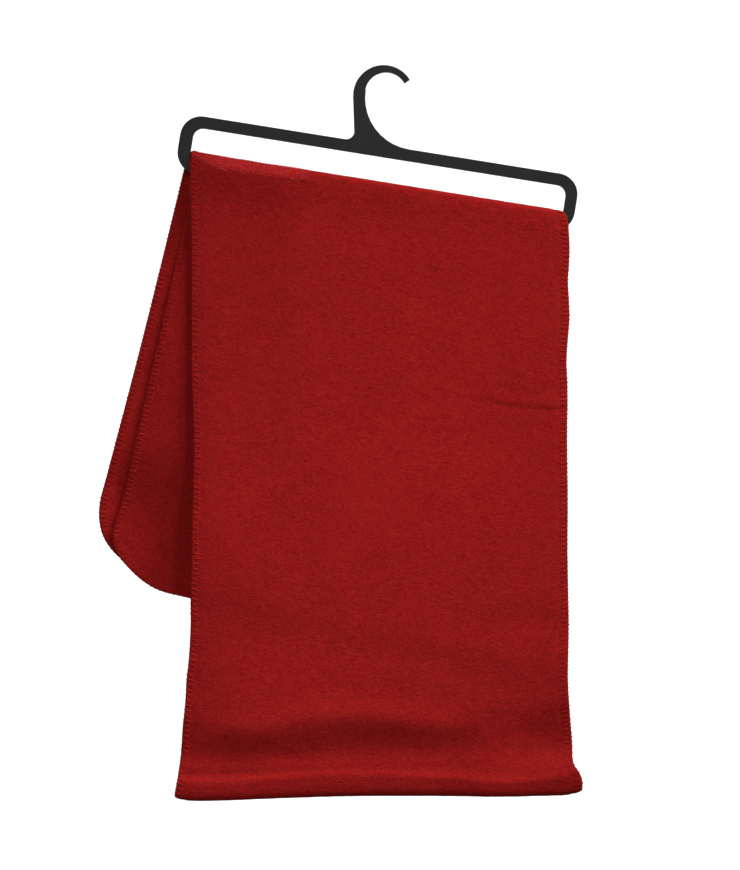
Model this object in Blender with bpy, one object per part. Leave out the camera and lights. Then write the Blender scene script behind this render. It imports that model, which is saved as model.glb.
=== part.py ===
"""A fleece scarf folded end to end and laid over the lower bar of a flat moulded hanger.

Metres, +Z up, front towards -Y. The origin is the highest point inside the hook, where it rests on a rail.
The hanger leans in its own plane, right end down. In front the doubled cloth hangs plumb to a rounded
bottom fold. Behind, its two free ends leave the bar at the mirrored slant.
"""

import math
from collections import namedtuple

import bmesh
import bpy
from mathutils import Vector

# Hanger: one flat moulding, drawn square to its bars before it leans
LEAN = math.radians(9.1)
HANGER_DEPTH = 0.0045
HANGER_EDGE = 0.0006
HANGER_LEFT = -0.1443
HANGER_RIGHT = 0.1557
HANGER_TOP = -0.0540
HANGER_BOTTOM = -0.0973
UPPER_BAR = 0.0089
LOWER_BAR = 0.0086
LEFT_ARM = 0.0098
RIGHT_ARM = 0.0089
UPPER_CORNER = 0.0157
LOWER_CORNER = 0.0160
WINDOW_UPPER_CORNER = 0.0075
WINDOW_LOWER_CORNER = 0.0030

# Hook: two eccentric arcs for the crook, so the stem side is thicker, and a wide fillet into the upper bar
CROOK_INNER_RADIUS = 0.01565
CROOK_INNER_CENTRE = (0.00248, -0.01545)
CROOK_OUTER_RADIUS = 0.02288
CROOK_OUTER_CENTRE = (0.00105, -0.01746)
TIP_INNER_ANGLE = math.radians(37.5)
TIP_OUTER_ANGLE = math.radians(40.2)
STEM_FILLET = 0.0388
STEM_FILLET_CENTRE = (0.02606, -0.01520)
STEM_LEFT_FOOT = (-0.0163, -0.0480)
STEM_LEFT_FILLET = 0.0060
STEM_ROOT = -0.0580

# Cloth: a strip of fleece laid double, so two walls pass over the bar
WALL = 0.0030
SOFT_EDGE = 0.0007
EDGE_INSET = 0.0010
NODE_GAP = 0.0003
LAYER_GAP = 0.00035
BAR_CLEARANCE = 0.0003
CORNER_RADIUS = 0.0493
FOLD_TOP = -0.08087

INNER_DEPTH = HANGER_DEPTH / 2 + BAR_CLEARANCE + WALL / 2
OUTER_DEPTH = INNER_DEPTH + WALL + LAYER_GAP
FRONT_MIDDLE = -(INNER_DEPTH + OUTER_DEPTH) / 2
HALF_SPACING = (OUTER_DEPTH - INNER_DEPTH) / 2
WRAP_CENTRE = FOLD_TOP - OUTER_DEPTH - WALL / 2

# Front: edges of the doubled cloth, a row for each height
Section = namedtuple("Section", "z left right")
FRONT_SECTIONS = (
    Section(-0.0600, -0.1463, 0.1347),
    Section(-0.1324, -0.1449, 0.1351),
    Section(-0.2257, -0.1448, 0.1351),
    Section(-0.2817, -0.1431, 0.1351),
    Section(-0.3563, -0.1443, 0.1351),
    Section(-0.3973, -0.1453, 0.1351),
    Section(-0.4309, -0.1467, 0.1351),
    Section(-0.4533, -0.1494, 0.1354),
    Section(-0.4869, -0.1517, 0.1374),
    Section(-0.5093, -0.1532, 0.1392),
    Section(-0.5205, -0.1545, 0.1421),
    Section(-0.5280, -0.1555, 0.1456),
    Section(-0.5450, -0.1572, 0.1458),
)
HIDDEN_INSET = 0.0045

# Bottom fold: a loop as round as thick fleece allows, its lowest line a little lower at the left
FOLD_BOTTOM_LEFT = -0.5430
FOLD_BOTTOM_RIGHT = -0.5389
FOLD_RADIUS = 0.0065
FOLD_NECK_HEIGHT = 0.0250

# Back: each free end is a panel between four corners, in the plane of its layer, its left edge bowed inwards
Panel = namedtuple("Panel", "top_left bottom_left top_right bottom_right bow depth")
BACK_OUTER = Panel(
    (-0.1500, -0.0669), (-0.2253, -0.3624), (0.1283, -0.1114), (0.0463, -0.4324), 0.0018, OUTER_DEPTH
)
BACK_INNER = Panel(
    (-0.1404, -0.0684), (-0.2110, -0.3780), (0.1300, -0.1121), (0.0631, -0.4382), 0.0004, INNER_DEPTH
)

# Soft folds: how far each swells towards -Y, where, and how far it spreads
Swell = namedtuple("Swell", "out x z wide tall")
FRONT_SWELLS = (
    Swell(0.0026, -0.030, -0.488, 0.105, 0.015),
    Swell(-0.0012, -0.010, -0.160, 0.090, 0.060),
    Swell(0.0014, 0.070, -0.330, 0.080, 0.090),
    Swell(-0.0010, -0.080, -0.405, 0.060, 0.050),
)
BACK_SWELLS = (
    Swell(-0.0022, -0.190, -0.350, 0.040, 0.045),
    Swell(0.0012, -0.160, -0.240, 0.050, 0.060),
    Swell(-0.0018, 0.020, -0.400, 0.060, 0.050),
)

# The cloth lies flat against the bar, so the swells start below it
SWELL_START = 0.012
SWELL_FULL = 0.050

# Mesh density
ARC_STEP = math.radians(9)
FALL_ROWS = 13
WRAP_STEPS = 10
NECK_STEPS = 5
LOOP_STEPS = 9
PLAIN_COLUMNS = 13
MIDDLE_COLUMNS = 6
CORNER_STEPS = (12, 25, 38, 51, 64, 77, 90)

FLEECE_RED = (0.26, 0.011, 0.010, 1.0)
FLEECE_ROUGHNESS = 0.95
PLASTIC_BLACK = (0.026, 0.026, 0.026, 1.0)
PLASTIC_ROUGHNESS = 0.42


def clear_scene():
    for obj in list(bpy.data.objects):
        bpy.data.objects.remove(obj, do_unlink=True)


def new_material(name, colour, roughness):
    material = bpy.data.materials.new(name)
    material.use_nodes = True
    shader = material.node_tree.nodes["Principled BSDF"]
    shader.inputs["Base Color"].default_value = colour
    shader.inputs["Roughness"].default_value = roughness
    shader.inputs["Metallic"].default_value = 0.0
    return material


def new_object(name, bm, material):
    bmesh.ops.recalc_face_normals(bm, faces=bm.faces)
    mesh = bpy.data.meshes.new(name)
    bm.to_mesh(mesh)
    bm.free()
    mesh.materials.append(material)
    mesh.shade_smooth()
    mesh.set_sharp_from_angle(angle=math.radians(40))
    obj = bpy.data.objects.new(name, mesh)
    bpy.context.scene.collection.objects.link(obj)
    return obj


def arc(centre, radius, start, end):
    """Points from the start angle to the end angle, in radians, both included."""
    steps = max(1, round(abs(end - start) / ARC_STEP))
    angles = (start + (end - start) * k / steps for k in range(steps + 1))
    return [(centre[0] + radius * math.cos(a), centre[1] + radius * math.sin(a)) for a in angles]


def rounded_box(left, right, bottom, top, lower_radius, upper_radius):
    """An upright rectangle with round corners, anticlockwise from the lower right."""
    quarter = math.pi / 2
    low = bottom + lower_radius
    high = top - upper_radius
    return (
        arc((right - lower_radius, low), lower_radius, -quarter, 0)
        + arc((right - upper_radius, high), upper_radius, 0, quarter)
        + arc((left + upper_radius, high), upper_radius, quarter, 2 * quarter)
        + arc((left + lower_radius, low), lower_radius, 2 * quarter, 3 * quarter)
    )


def stem_left_edge():
    """The stem's left edge: off the crook on a tangent, straight down, then a small fillet onto the bar."""
    foot = Vector(STEM_LEFT_FOOT)
    centre = Vector(CROOK_OUTER_CENTRE)
    reach = foot - centre
    tangent_angle = math.atan2(reach.y, reach.x) - math.acos(CROOK_OUTER_RADIUS / reach.length)
    crook = arc(CROOK_OUTER_CENTRE, CROOK_OUTER_RADIUS, TIP_OUTER_ANGLE, tangent_angle % (2 * math.pi))
    fillet_centre = (foot.x - STEM_LEFT_FILLET, HANGER_TOP + STEM_LEFT_FILLET)
    return crook + arc(fillet_centre, STEM_LEFT_FILLET, 0, -math.pi / 2)


def hook_outline():
    """The crook from its tip, over the top, down the stem into the bar, and back up the inner side."""
    fillet_foot = (STEM_FILLET_CENTRE[0], STEM_ROOT)
    left_foot = (STEM_LEFT_FOOT[0] - STEM_LEFT_FILLET, STEM_ROOT)
    fillet = arc(STEM_FILLET_CENTRE, STEM_FILLET, 1.5 * math.pi, math.pi)
    inner = arc(CROOK_INNER_CENTRE, CROOK_INNER_RADIUS, math.pi, TIP_INNER_ANGLE)
    return stem_left_edge() + [left_foot, fillet_foot] + fillet + inner


def plate(name, outline, depth, material):
    """A flat plate standing in the XZ plane, its outline given as (across, up)."""
    bm = bmesh.new()
    ring = [bm.verts.new((x, -depth / 2, z)) for x, z in outline]
    face = bm.faces.new(ring)
    walls = bmesh.ops.extrude_face_region(bm, geom=[face])
    moved = [item for item in walls["geom"] if isinstance(item, bmesh.types.BMVert)]
    bmesh.ops.translate(bm, verts=moved, vec=(0, depth, 0))
    return new_object(name, bm, material)


def add_boolean(obj, other, operation):
    modifier = obj.modifiers.new(operation.title(), "BOOLEAN")
    modifier.object = other
    modifier.operation = operation
    modifier.solver = "EXACT"
    other.hide_render = True
    other.display_type = "WIRE"


def build_hanger():
    """The frame with its window cut out and the hook joined on, then all edges eased."""
    plastic = new_material("hanger_plastic", PLASTIC_BLACK, PLASTIC_ROUGHNESS)
    frame = rounded_box(HANGER_LEFT, HANGER_RIGHT, HANGER_BOTTOM, HANGER_TOP, LOWER_CORNER, UPPER_CORNER)
    window = rounded_box(
        HANGER_LEFT + LEFT_ARM,
        HANGER_RIGHT - RIGHT_ARM,
        HANGER_BOTTOM + LOWER_BAR,
        HANGER_TOP - UPPER_BAR,
        WINDOW_LOWER_CORNER,
        WINDOW_UPPER_CORNER,
    )
    hanger = plate("hanger", frame, HANGER_DEPTH, plastic)
    add_boolean(hanger, plate("window_cutter", window, 3 * HANGER_DEPTH, plastic), "DIFFERENCE")
    add_boolean(hanger, plate("hook_blank", hook_outline(), HANGER_DEPTH, plastic), "UNION")
    bevel = hanger.modifiers.new("Bevel", "BEVEL")
    bevel.width = HANGER_EDGE
    bevel.segments = 2
    bevel.limit_method = "ANGLE"
    bevel.angle_limit = math.radians(50)
    lean = bpy.data.objects.new("hook_rest", None)
    lean.rotation_euler = (0, LEAN, 0)
    bpy.context.scene.collection.objects.link(lean)
    for obj in (hanger, bpy.data.objects["window_cutter"], bpy.data.objects["hook_blank"]):
        obj.parent = lean


def mix(a, b, amount):
    return a + (b - a) * amount


def smooth_step(amount):
    amount = min(max(amount, 0.0), 1.0)
    return amount * amount * (3 - 2 * amount)


def leaned(along, depth, up):
    """A point given along and above the bars, turned with the hanger about the hook."""
    cos = math.cos(LEAN)
    sin = math.sin(LEAN)
    return Vector((along * cos + up * sin, depth, up * cos - along * sin))


def along_bar(x):
    """How far along the bar the wrap's centre line passes a given X."""
    return (x - WRAP_CENTRE * math.sin(LEAN)) / math.cos(LEAN)


def plain_columns(width):
    """Fractions across the cloth, with a narrow first and last column for the soft edge."""
    inset = EDGE_INSET / width
    inner = [mix(inset, 1 - inset, k / (PLAIN_COLUMNS - 1)) for k in range(PLAIN_COLUMNS)]
    return [0.0] + inner + [1.0]


def corner_columns(width):
    """Fractions across a free end, spaced so that they meet its round corners at even angles."""
    corner = [CORNER_RADIUS * (1 - math.cos(math.radians(a))) / width for a in CORNER_STEPS]
    inner = [mix(corner[-1], 1 - corner[-1], k / MIDDLE_COLUMNS) for k in range(1, MIDDLE_COLUMNS)]
    return [0.0] + corner + inner + [1 - c for c in reversed(corner)] + [1.0]


def swell(folds, x, z, drop):
    """The sum of the soft folds at a place a given drop below the bar, as a distance towards -Y."""
    total = 0.0
    for fold in folds:
        total += fold.out * math.exp(-(((x - fold.x) / fold.wide) ** 2) - ((z - fold.z) / fold.tall) ** 2)
    return total * smooth_step((drop - SWELL_START) / (SWELL_FULL - SWELL_START))


def direction_at(points, k):
    """The direction of a row of points at one of them, on a parabola through it and two neighbours."""
    middle = min(max(k, 1), len(points) - 2)
    before = points[middle] - points[middle - 1]
    after = points[middle + 1] - points[middle]
    share = before.length / (before.length + after.length)
    if k < middle:
        share = -share
    elif k > middle:
        share = 2 - share
    return before.normalized() + (after.normalized() - before.normalized()) * share


def cloth(name, rows, end_is_hem=False):
    """A closed wall of cloth round a grid of middle points, thinner at the hems on both sides."""
    bm = bmesh.new()
    last_row = len(rows) - 1
    last_column = len(rows[0]) - 1
    columns = list(zip(*rows))
    near = []
    far = []
    for r, row in enumerate(rows):
        near.append([])
        far.append([])
        for c, point in enumerate(row):
            normal = direction_at(row, c).cross(direction_at(columns[c], r)).normalized()
            hem = c in (0, last_column) or (end_is_hem and r == last_row)
            offset = normal * (SOFT_EDGE if hem else WALL / 2)
            near[r].append(bm.verts.new(point + offset))
            far[r].append(bm.verts.new(point - offset))
    for r in range(last_row):
        for c in range(last_column):
            bm.faces.new((near[r][c], near[r][c + 1], near[r + 1][c + 1], near[r + 1][c]))
            bm.faces.new((far[r][c], far[r + 1][c], far[r + 1][c + 1], far[r][c + 1]))
    border = [(0, c) for c in range(last_column)]
    border += [(r, last_column) for r in range(last_row)]
    border += [(last_row, c) for c in range(last_column, 0, -1)]
    border += [(r, 0) for r in range(last_row, 0, -1)]
    for (r0, c0), (r1, c1) in zip(border, border[1:] + border[:1]):
        bm.faces.new((near[r0][c0], far[r0][c0], far[r1][c1], near[r1][c1]))
    return new_object(name, bm, new_material(name + "_fleece", FLEECE_RED, FLEECE_ROUGHNESS))


def front_edges(z):
    """The left and right edge of the front at a height, between the measured sections."""
    for upper, lower in zip(FRONT_SECTIONS, FRONT_SECTIONS[1:]):
        if z >= lower.z:
            amount = (upper.z - z) / (upper.z - lower.z)
            return mix(upper.left, lower.left, amount), mix(upper.right, lower.right, amount)
    return FRONT_SECTIONS[-1].left, FRONT_SECTIONS[-1].right


def front_x(across, z, inset=0.0):
    left, right = front_edges(z)
    return mix(left + inset, right - inset, across)


def wrap_line_z(x):
    """The height at which the wrap over the bar ends and the cloth starts to fall."""
    return leaned(along_bar(x), 0, WRAP_CENTRE).z


def neck_z(across):
    return mix(FOLD_BOTTOM_LEFT, FOLD_BOTTOM_RIGHT, across) + WALL / 2 + FOLD_RADIUS + FOLD_NECK_HEIGHT


def front_fall(name, depth_from_middle, hidden_inset):
    """One of the two front layers, plumb from the bar down to the neck of the bottom fold."""
    rows = []
    columns = plain_columns(FRONT_SECTIONS[0].right - FRONT_SECTIONS[0].left)
    for r in range(FALL_ROWS + 1):
        row = []
        for across in columns:
            inset = hidden_inset * (1 - r / FALL_ROWS)
            top = wrap_line_z(front_x(across, FRONT_SECTIONS[0].z, inset)) - NODE_GAP / 2
            z = mix(top, neck_z(across) + NODE_GAP / 2, r / FALL_ROWS)
            x = front_x(across, z, inset)
            depth = FRONT_MIDDLE + depth_from_middle - swell(FRONT_SWELLS, x, z, top - z)
            row.append(Vector((x, depth, z)))
        rows.append(row)
    return cloth(name, rows)


def fold_profile(across):
    """(depth from the middle, z) down the front of the loop, round its bottom and up its back."""
    centre = neck_z(across) - FOLD_NECK_HEIGHT
    side = []
    for k in range(NECK_STEPS):
        drop = mix(NODE_GAP / 2 / FOLD_NECK_HEIGHT, 1.0, k / NECK_STEPS)
        depth = mix(HALF_SPACING, FOLD_RADIUS, smooth_step(drop))
        side.append((depth, centre + FOLD_NECK_HEIGHT * (1 - drop)))
    angles = [math.pi * k / LOOP_STEPS for k in range(LOOP_STEPS + 1)]
    loop = [(-FOLD_RADIUS * math.cos(a), centre - FOLD_RADIUS * math.sin(a)) for a in angles]
    return [(-depth, z) for depth, z in side] + loop + side[::-1]


def build_bottom_fold():
    columns = plain_columns(FRONT_SECTIONS[-1].right - FRONT_SECTIONS[-1].left)
    profiles = [fold_profile(across) for across in columns]
    rows = []
    for step in range(len(profiles[0])):
        row = []
        for across, profile in zip(columns, profiles):
            depth, z = profile[step]
            x = front_x(across, z)
            row.append(Vector((x, FRONT_MIDDLE + depth - swell(FRONT_SWELLS, x, z, SWELL_FULL), z)))
        rows.append(row)
    cloth("bottom_fold", rows)


def build_bar_wrap(name, radius, front_inset, panel):
    """A half turn over the lower bar, inside the window until it is clear of the arms' depth."""
    top = FRONT_SECTIONS[0]
    front = (along_bar(top.left + front_inset), along_bar(top.right - front_inset))
    window = (HANGER_LEFT + LEFT_ARM + BAR_CLEARANCE, HANGER_RIGHT - RIGHT_ARM - BAR_CLEARANCE)
    back = (along_bar(panel.top_left[0]), along_bar(panel.top_right[0]))
    gap_angle = NODE_GAP / 2 / radius
    arm_cosine = (HANGER_DEPTH / 2 + BAR_CLEARANCE + WALL / 2) / radius
    rows = []
    for k in range(WRAP_STEPS + 1):
        angle = mix(gap_angle, math.pi - gap_angle, k / WRAP_STEPS)
        past_arms = smooth_step((abs(math.cos(angle)) - arm_cosine) / (1 - arm_cosine + HANGER_EDGE))
        side = front if angle < math.pi / 2 else back
        left = mix(window[0], side[0], past_arms) if side[0] < window[0] else max(window[0], side[0])
        right = mix(window[1], side[1], past_arms) if side[1] > window[1] else min(window[1], side[1])
        depth = -radius * math.cos(angle)
        up = WRAP_CENTRE + radius * math.sin(angle)
        rows.append([leaned(mix(left, right, c), depth, up) for c in plain_columns(right - left)])
    cloth(name, rows)


def back_fall(name, panel):
    """A free end: a slanted panel whose two lower corners are round."""
    bottom_left = Vector(panel.bottom_left)
    bottom_right = Vector(panel.bottom_right)
    width = (bottom_right - bottom_left).length
    columns = corner_columns(width)
    rows = [[] for _ in range(FALL_ROWS + 2)]
    for across in columns:
        top_x = mix(panel.top_left[0], panel.top_right[0], across)
        top = Vector((top_x, wrap_line_z(top_x) - NODE_GAP / 2))
        bottom = bottom_left.lerp(bottom_right, across)
        length = (bottom - top).length
        from_side = min(across, 1 - across) * width
        inward = max(CORNER_RADIUS - from_side, 0.0)
        cut_away = CORNER_RADIUS - math.sqrt(CORNER_RADIUS**2 - inward**2)
        drops = [mix(0, length - cut_away - EDGE_INSET, r / FALL_ROWS) for r in range(FALL_ROWS + 1)]
        for row, drop in zip(rows, drops + [length - cut_away]):
            flat = top.lerp(bottom, drop / length)
            depth = panel.depth - swell(BACK_SWELLS, flat.x, flat.y, drop)
            bow = panel.bow * math.sin(math.pi * drop / length) * (1 - across)
            row.append(Vector((flat.x + bow, depth, flat.y)))
    cloth(name, rows, end_is_hem=True)


def build_scarf():
    build_bar_wrap("bar_wrap_outer", OUTER_DEPTH, 0.0, BACK_OUTER)
    build_bar_wrap("bar_wrap_inner", INNER_DEPTH, HIDDEN_INSET, BACK_INNER)
    front_fall("front_outer_fall", -HALF_SPACING, 0.0)
    front_fall("front_inner_fall", HALF_SPACING, HIDDEN_INSET)
    build_bottom_fold()
    back_fall("back_inner_fall", BACK_INNER)
    back_fall("back_outer_fall", BACK_OUTER)


clear_scene()
build_hanger()
build_scarf()
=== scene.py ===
# %% [markdown]
# # A fleece scarf on its hanger
# A plain red fleece scarf is folded end to end and laid over the lower bar of a flat plastic hanger.
# The cloth is one strip, cut to 0.28 m by 1.60 m with round corners and whip-stitched all round its raw edge.
# This lesson dresses the plain solids of that object: it lays the whole strip as one thin wall of cloth,
# sews the edge stitch by stitch, raises a nap of short fibres and gives each material a procedural finish.

# %% Load the solids
import math
import random
from collections import namedtuple

import bmesh
import bpy
import numpy as np
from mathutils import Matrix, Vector, noise


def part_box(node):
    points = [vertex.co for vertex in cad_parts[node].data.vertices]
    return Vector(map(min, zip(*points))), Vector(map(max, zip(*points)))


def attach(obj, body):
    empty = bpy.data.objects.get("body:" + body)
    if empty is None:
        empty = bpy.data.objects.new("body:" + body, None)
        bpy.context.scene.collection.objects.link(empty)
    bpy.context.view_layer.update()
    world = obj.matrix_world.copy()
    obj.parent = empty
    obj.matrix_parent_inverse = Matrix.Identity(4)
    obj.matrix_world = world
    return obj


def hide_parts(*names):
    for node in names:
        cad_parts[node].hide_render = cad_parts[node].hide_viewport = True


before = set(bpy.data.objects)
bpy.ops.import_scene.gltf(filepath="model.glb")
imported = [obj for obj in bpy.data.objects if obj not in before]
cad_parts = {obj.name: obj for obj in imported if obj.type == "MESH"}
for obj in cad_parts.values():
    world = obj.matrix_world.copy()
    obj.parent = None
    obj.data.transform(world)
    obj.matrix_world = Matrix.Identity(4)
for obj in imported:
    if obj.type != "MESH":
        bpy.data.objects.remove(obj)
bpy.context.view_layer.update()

print("solids", sorted(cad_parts))

# %% [markdown]
# ## The camera
# The photograph looks square at the hanging scarf from far away, so that nothing on it seems to converge.
# A long lens a few metres off gives that flat look. The lens follows from the height of the scene that the
# frame takes in.

# %% Camera
PHOTO_HEIGHT = 870
METRES_PER_PIXEL = 0.0007463
FRAME_CENTRE = Vector((-0.0119, 0.0, -0.2705))
CAMERA_DISTANCE = 3.0

camera_data = bpy.data.cameras.new("camera")
camera_data.lens = camera_data.sensor_width * CAMERA_DISTANCE / (PHOTO_HEIGHT * METRES_PER_PIXEL)
camera_data.clip_end = 20
camera = bpy.data.objects.new("camera", camera_data)
camera.location = FRAME_CENTRE + Vector((0, -CAMERA_DISTANCE, 0))
camera.rotation_euler = (math.radians(90), 0, 0)
bpy.context.scene.collection.objects.link(camera)
bpy.context.scene.camera = camera
print("lens", round(camera_data.lens, 1), "mm")

# %% [markdown]
# ## Wires for shader maths
# A material is a tree of nodes. Writing it as arithmetic keeps it short, so one small class holds an output
# socket and turns +, - and * into Math nodes. Everything else comes from its `make` method, which takes
# a node's type, then its settings, then the values or wires of its sockets.

# %% Wires
class Wire:
    """An output socket of a shader tree, or the bare tree when it has no socket yet."""

    def __init__(self, tree, socket=None):
        self.tree = tree
        self.socket = socket

    def make(self, kind, settings=None, sockets=None, output=0):
        node = self.tree.nodes.new(kind)
        for name, value in (settings or {}).items():
            setattr(node, name, value)
        for name, value in (sockets or {}).items():
            if isinstance(value, Wire):
                self.tree.links.new(value.socket, node.inputs[name])
            else:
                node.inputs[name].default_value = value
        return Wire(self.tree, node.outputs[output])

    def math(self, operation, first, second):
        return self.make("ShaderNodeMath", {"operation": operation}, {0: first, 1: second})

    def __add__(self, other):
        return self.math("ADD", self, other)

    def __radd__(self, other):
        return self.math("ADD", other, self)

    def __sub__(self, other):
        return self.math("SUBTRACT", self, other)

    def __rsub__(self, other):
        return self.math("SUBTRACT", other, self)

    def __mul__(self, other):
        return self.math("MULTIPLY", self, other)

    def __rmul__(self, other):
        return self.math("MULTIPLY", other, self)


def clamped(wire):
    return wire.make("ShaderNodeClamp", None, {"Value": wire})


def mixed_colour(amount, dark, light):
    colours = {"Factor": amount, 6: dark, 7: light}
    return amount.make("ShaderNodeMix", {"data_type": "RGBA"}, colours, output=2)


def new_finish(name, constants):
    """A material with one Principled shader, its constant sockets set, and the wire that starts its tree."""
    material = bpy.data.materials.new(name)
    material.use_nodes = True
    shader = material.node_tree.nodes["Principled BSDF"]
    for socket, value in constants.items():
        shader.inputs[socket].default_value = value
    return material, shader, Wire(material.node_tree)


def grain(tree, scale, stretch=(1, 1, 1), detail=2.0, roughness=0.5, distortion=0.0):
    """Noise in the object's own metres: scale is how many lumps fit in a metre, before the stretch."""
    place = tree.make("ShaderNodeTexCoord", output=3)
    stretched = tree.make("ShaderNodeVectorMath", {"operation": "MULTIPLY"}, {0: place, 1: stretch})
    sockets = {
        "Vector": stretched,
        "Scale": scale,
        "Detail": detail,
        "Roughness": roughness,
        "Distortion": distortion,
    }
    return tree.make("ShaderNodeTexNoise", None, sockets)


def plug(shader, socket, wire):
    wire.tree.links.new(wire.socket, shader.inputs[socket])


def bumped(height, strength, distance):
    return height.make("ShaderNodeBump", None, {"Strength": strength, "Distance": distance, "Height": height})


# %% [markdown]
# ## The moulded plastic
# The hanger is black plastic out of a steel mould: almost flat black, with a satin face, a very fine mould
# grain and slightly duller patches from handling. Its solid already has the right shape, so it stays and
# only takes a finish.

# %% Plastic finish
PLASTIC_DARK = (0.0070, 0.0072, 0.0069, 1)
PLASTIC_WORN = (0.0105, 0.0108, 0.0103, 1)

plastic, shader, tree = new_finish("moulded_plastic", {"Specular IOR Level": 0.28, "IOR": 1.47})
patches = grain(tree, 35, detail=3.0)
mould = grain(tree, 2200, detail=2.0)
plug(shader, "Base Color", mixed_colour(clamped((patches - 0.4) * 3.0), PLASTIC_DARK, PLASTIC_WORN))
plug(shader, "Roughness", 0.40 + patches * 0.14)
plug(shader, "Normal", bumped(mould + patches * 0.5, 0.25, 0.00012))
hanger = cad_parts["hanger"]
hanger.data.materials.clear()
hanger.data.materials.append(plastic)
print("hanger faces", len(hanger.data.polygons))

# %% [markdown]
# ## How the strip hangs
# The hanger leans 9.1 degrees, right end down. Cloth that falls plumb in front meets its bar at a slant, and
# a strip folded over a slanted bar leaves it at the mirrored slant, so the free ends behind swing left.
# From one free end to the other the strip runs up the back, over the bar, down the front, round a soft
# bottom fold, up the front again behind the first layer, over the bar under it, and down the back.
# A cloth simulation could drape it, but it wouldn't settle into just these folds. So its path is worked out
# from a few sizes, as a maker would measure them on the real thing.

# %% Sizes of the strip and its path
LEAN = math.radians(9.1)
STRIP_WIDTH = 0.28
CORNER_RADIUS = 0.0493
WALL = 0.0030
LAYER_GAP = 0.00035
BAR_CLEARANCE = 0.0003
HANGER_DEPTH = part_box("hanger")[1][1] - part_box("hanger")[0][1]
FOLD_TOP = -0.0812

INNER_DEPTH = HANGER_DEPTH / 2 + BAR_CLEARANCE + WALL / 2
OUTER_DEPTH = INNER_DEPTH + WALL + LAYER_GAP
FRONT_MIDDLE = -(INNER_DEPTH + OUTER_DEPTH) / 2
HALF_SPACING = (OUTER_DEPTH - INNER_DEPTH) / 2
WRAP_CENTRE = FOLD_TOP - OUTER_DEPTH - WALL / 2
WINDOW = (-0.1342, 0.1465)

Section = namedtuple("Section", "z left right")
FRONT_SECTIONS = (
    Section(-0.0600, -0.1459, 0.1348),
    Section(-0.1140, -0.1452, 0.1358),
    Section(-0.1300, -0.1448, 0.1366),
    Section(-0.1450, -0.1449, 0.1362),
    Section(-0.1560, -0.1447, 0.1354),
    Section(-0.1700, -0.1449, 0.1362),
    Section(-0.1840, -0.1449, 0.1366),
    Section(-0.1990, -0.1449, 0.1354),
    Section(-0.2160, -0.1449, 0.1344),
    Section(-0.2300, -0.1446, 0.1350),
    Section(-0.2450, -0.1440, 0.1352),
    Section(-0.2650, -0.1434, 0.1349),
    Section(-0.2817, -0.1430, 0.1349),
    Section(-0.3190, -0.1438, 0.1353),
    Section(-0.3563, -0.1446, 0.1351),
    Section(-0.3760, -0.1450, 0.1354),
    Section(-0.3973, -0.1455, 0.1358),
    Section(-0.4120, -0.1455, 0.1360),
    Section(-0.4309, -0.1464, 0.1357),
    Section(-0.4421, -0.1474, 0.1354),
    Section(-0.4533, -0.1487, 0.1354),
    Section(-0.4700, -0.1496, 0.1363),
    Section(-0.4869, -0.1514, 0.1377),
    Section(-0.5010, -0.1524, 0.1389),
    Section(-0.5115, -0.1533, 0.1391),
    Section(-0.5170, -0.1540, 0.1405),
    Section(-0.5215, -0.1547, 0.1436),
    Section(-0.5260, -0.1553, 0.1457),
    Section(-0.5310, -0.1562, 0.1463),
    Section(-0.5360, -0.1572, 0.1458),
    Section(-0.5430, -0.1578, 0.1435),
)

Panel = namedtuple("Panel", "top_left bottom_left top_right bottom_right bow depth spread spread_at curl")
BACK_OUTER = Panel(
    top_left=(-0.1500, -0.0669),
    bottom_left=(-0.2263, -0.3622),
    top_right=(0.1283, -0.1114),
    bottom_right=(0.0463, -0.4324),
    bow=0.0020,
    depth=OUTER_DEPTH,
    spread=0.0013,
    spread_at=Vector((-0.2095, -0.3450)),
    curl=0.0030,
)
BACK_INNER = Panel(
    top_left=(-0.1404, -0.0684),
    bottom_left=(-0.2112, -0.3786),
    top_right=(0.1300, -0.1121),
    bottom_right=(0.0631, -0.4388),
    bow=0.0004,
    depth=INNER_DEPTH,
    spread=0.0044,
    spread_at=Vector((-0.2020, -0.3510)),
    curl=0.0009,
)
layer_depths = [round(depth * 1000, 2) for depth in (INNER_DEPTH, OUTER_DEPTH)]
print("layers at", layer_depths, "mm from the bar's middle")

# %% [markdown]
# ## Small helpers for shapes
# `mix` and `ease` blend numbers, `along` reads a smooth value out of a short table, and `bell` is the soft
# rise and fall that every fold in this cloth is made from.

# %% Shape helpers
def mix(a, b, amount):
    return a + (b - a) * amount


def ease(amount):
    amount = min(max(amount, 0.0), 1.0)
    return amount * amount * (3 - 2 * amount)


def bell(distance, reach):
    return math.exp(-((distance / reach) ** 2))


def along(places, values, place):
    """A smooth curve through a rising table, read at one place (a Catmull-Rom spline)."""
    if place <= places[0]:
        return values[0]
    if place >= places[-1]:
        return values[-1]
    k = next(i for i in range(len(places) - 1) if place <= places[i + 1])
    span = places[k + 1] - places[k]
    amount = (place - places[k]) / span
    before = max(k - 1, 0)
    after = min(k + 2, len(places) - 1)
    slope_in = (values[k + 1] - values[before]) / (places[k + 1] - places[before]) * span
    slope_out = (values[after] - values[k]) / (places[after] - places[k]) * span
    square = amount * amount
    cube = square * amount
    return (
        (2 * cube - 3 * square + 1) * values[k]
        + (cube - 2 * square + amount) * slope_in
        + (3 * square - 2 * cube) * values[k + 1]
        + (cube - square) * slope_out
    )


def leaned(place, depth, up):
    """A point measured along and above the hanger's bars, turned with the hanger about its hook."""
    cos = math.cos(LEAN)
    sin = math.sin(LEAN)
    return Vector((place * cos + up * sin, depth, up * cos - place * sin))


def bar_place(x):
    """How far along the bar the wrap's centre line passes a given X."""
    return (x - WRAP_CENTRE * math.sin(LEAN)) / math.cos(LEAN)


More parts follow.
